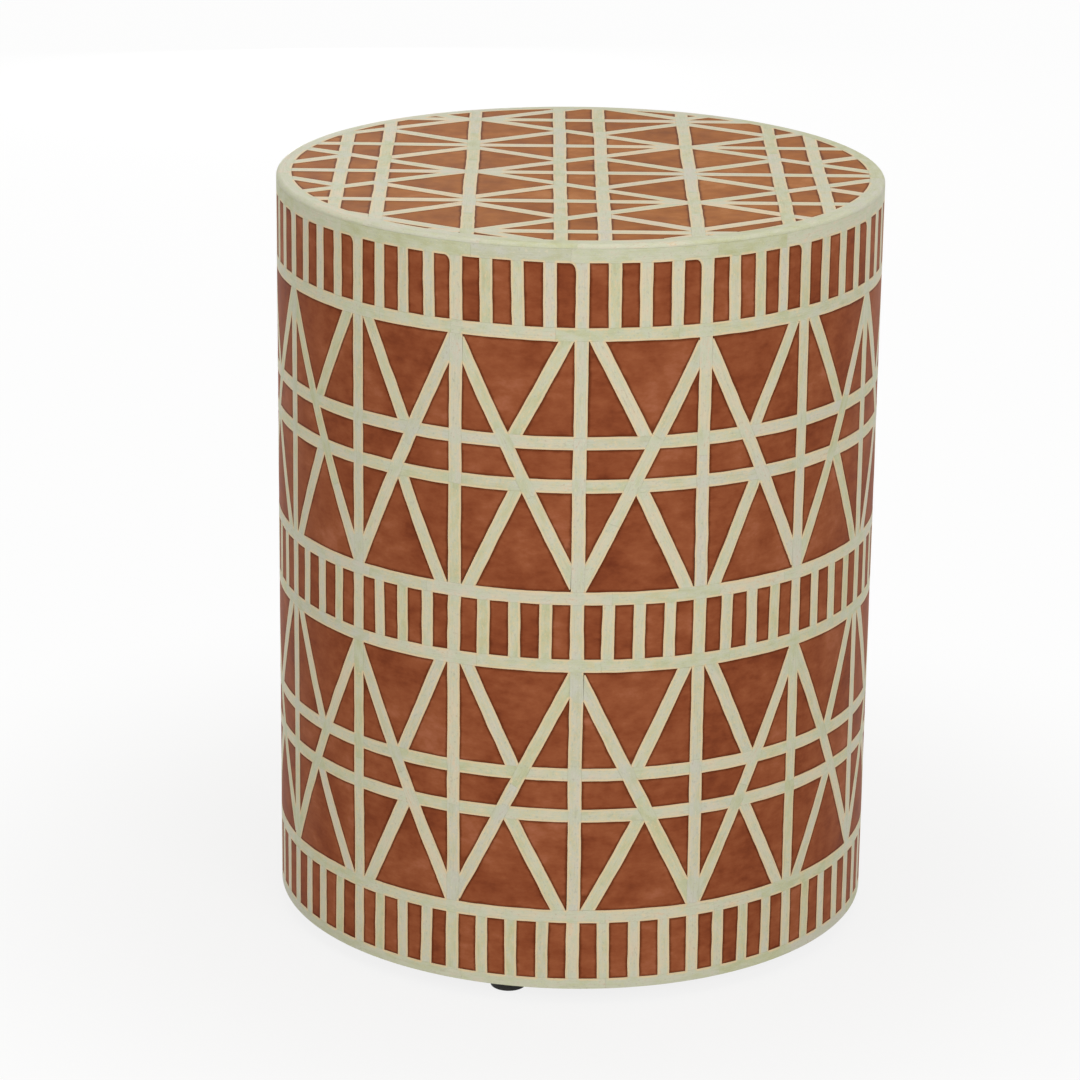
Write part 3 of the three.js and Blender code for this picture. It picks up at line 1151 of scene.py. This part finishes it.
def screw(name):
    low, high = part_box(name)
    middle = (low + high) / 2
    size = fittings
    head, shank = size["head"], size["shank"]
    profile = [(head - size["headEdge"], low.z), (head, low.z + size["headEdge"])]
    profile += [(shank, low.z + size["headDepth"]), (shank, high.z - size["tip"]), (size["point"], high.z)]
    shell = Shell()
    rings = [shell.ring(circle(radius), height, middle) for radius, height in profile]
    shell.faces += bands(rings)
    shell.faces.append(rings[-1])
    turn = Matrix.Rotation(middle.x * size["driveTurn"], 2)
    reach, half = size["driveReach"], size["driveHalf"]
    taperReach, taperHalf = size["driveTaper"]
    mouth = shell.ring([turn @ p for p in cross(reach, half)], low.z, middle)
    bottom = [turn @ p for p in cross(reach * taperReach, half * taperHalf)]
    bottom = shell.ring(bottom, low.z + size["driveDepth"], middle)
    shell.faces += bands([bottom, mouth])
    shell.faces.append(bottom[::-1])
    shell.cap([rings[0], mouth])
    shell.finish(name + "_driven", name, "steel")


def baseBoard(screws):
    low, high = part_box("base_board")
    size = fittings
    edge, sides = size["boardBreak"], size["boreSides"]
    levels = [(edge, low.z), (0, low.z + edge), (0, high.z - edge), (edge, high.z)]
    shell = Shell()
    rims = [shell.ring(circle(high.x - inset, size["boardSides"]), height) for inset, height in levels]
    shell.faces += bands(rims)
    below, above = rims[:1], rims[-1:]
    for name in screws:
        middle = sum(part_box(name), Vector((0, 0, 0))) / 2
        bore = circle(size["bore"], sides, middle)
        if name.startswith("foot"):
            rings = [shell.ring(bore, low.z)]
        else:
            sink = circle(size["head"] + size["sinkSlack"], sides, middle)
            rings = [shell.ring(sink, low.z), shell.ring(bore, low.z + size["headDepth"])]
        rings.append(shell.ring(bore, high.z))
        shell.faces += bands(rings)
        below.append(rings[0])
        above.append(rings[-1])
    shell.cap(below)
    shell.cap(above)
    shell.finish("base_board_round", "base_board", "board")


battens = sum(name.startswith("batten_") for name in frame["nodes"])
screws = [f"foot_screw_{k}" if k % 2 else f"base_screw_{k}" for k in range(1, battens + 1)]
for name in screws:
    if name.startswith("foot"):
        foot(name.replace("_screw", ""))
    screw(name)
baseBoard(screws)
print("feet, screws and base made")

# Floor, lights and camera
studio = {
    "ambient": (0.42, (1.0, 0.94, 0.82)),  # strength and tint
    "floorReach": 14,
    "floorTone": 0.6,
    # the lower near share leaves the floor darker round the drum, a painted soft shadow besides the lamps'
    # real one
    "whiteness": (0.84, 0.97),  # how far the floor's white hides its shadow, near and far
    "reach": (0.19, 0.55),  # where near ends and far begins
    "key": ((1.1, -2.3, 1.5), (0, 0, 0.22), 1.5, 28.5),  # place, aim, size and watts
    "fill": ((-1.9, -1.7, 1.0), (0, 0, 0.22), 1.6, 13),
    "over": ((0.1, -0.1, 2.3), (0, 0, 0.45), 1.4, 9),
    "back": ((-0.3, 2.6, 0.3), (0, 0, 0.22), 0.6, 16),
}


def seenDirectly(net):
    # 1 for what the camera, a reflection or a clear piece shows
    return sum(net.make("ShaderNodeLightPath", output=name) for name in (
        "Is Camera Ray", "Is Glossy Ray", "Is Transmission Ray",
    ))


def studioFloor():
    data = bpy.data.meshes.new("floor")
    reach = studio["floorReach"]
    corners = [(*p, 0) for p in oblong(-reach, reach, -reach, reach)]
    data.from_pydata(corners, [], [(0, 1, 2, 3)])
    net = Net("paleFloor")
    tone = studio["floorTone"]
    matt = net.make("ShaderNodeBsdfDiffuse", {}, {"Color": (tone, tone, tone, 1)})
    glow = net.make("ShaderNodeEmission", {}, {"Color": (1, 1, 1, 1), "Strength": 1.0})
    away = net.make("ShaderNodeVectorMath", {"operation": "LENGTH"}, {0: net.place()}, output="Value")
    near, far = studio["whiteness"]
    # painted shadow: within reach of the drum the floor glows less, so it stays darker round it
    share = seenDirectly(net) * (near + net.window(away, *studio["reach"]) * (far - near))
    data.materials.append(net.shown(net.make("ShaderNodeMixShader", {}, {0: share, 1: matt, 2: glow})))
    placed(data)


def studioWorld():
    world = bpy.data.worlds.new("studio")
    bpy.context.scene.world = world
    world.use_nodes = True
    net = Net("studioSky", world.node_tree)
    strength, tint = studio["ambient"]
    soft = net.make("ShaderNodeBackground", {}, {"Color": (*tint, 1), "Strength": strength})
    white = net.make("ShaderNodeBackground", {}, {"Color": (1, 1, 1, 1), "Strength": 1.0})
    mixed = net.make("ShaderNodeMixShader", {}, {0: seenDirectly(net), 1: soft, 2: white})
    net.shown(mixed, "ShaderNodeOutputWorld")


def areaLight(name):
    place, aim, size, power = studio[name]
    data = bpy.data.lights.new(name, "AREA")
    data.shape = "DISK"
    data.size = size
    data.energy = power
    light = placed(data)
    light.location = place
    light.rotation_euler = (Vector(aim) - Vector(place)).to_track_quat("-Z", "Y").to_euler()


# The camera, fitted to the photograph, in radii of the drum and pixels
view = {
    "focalPixels": 4085.98,
    "framePixels": 1080,
    "middle": (534.32, 539.16),
    "distance": 13.1500,
    "height": 3.0411,
    "pitch": 0.31744,
    "yaw": -0.010509,
    "roll": 0.011535,
    "turn": -0.011101,
}


def photoCamera():
    radius = drum["radius"]
    spin = Matrix.Rotation(view["turn"], 4, "Z")
    matrix = spin
    for angle, axis in ((-view["yaw"], "Z"), (math.pi / 2 - view["pitch"], "X"), (view["roll"], "Z")):
        matrix = matrix @ Matrix.Rotation(angle, 4, axis)
    place = Vector((0, -view["distance"] * radius, view["height"] * radius))
    matrix.translation = spin @ place + Vector((0, 0, drum["top"]))
    data = bpy.data.cameras.new("camera")
    data.sensor_width = 36
    pixels = view["framePixels"]
    data.lens = view["focalPixels"] / pixels * data.sensor_width
    data.shift_x = (pixels / 2 - view["middle"][0]) / pixels
    data.shift_y = (view["middle"][1] - pixels / 2) / pixels
    camera = placed(data)
    camera.matrix_world = matrix
    bpy.context.scene.camera = camera


studioFloor()
studioWorld()
for lamp in ("key", "fill", "over", "back"):
    areaLight(lamp)
photoCamera()
bpy.context.scene.view_settings.view_transform = "Standard"
print("studio set")
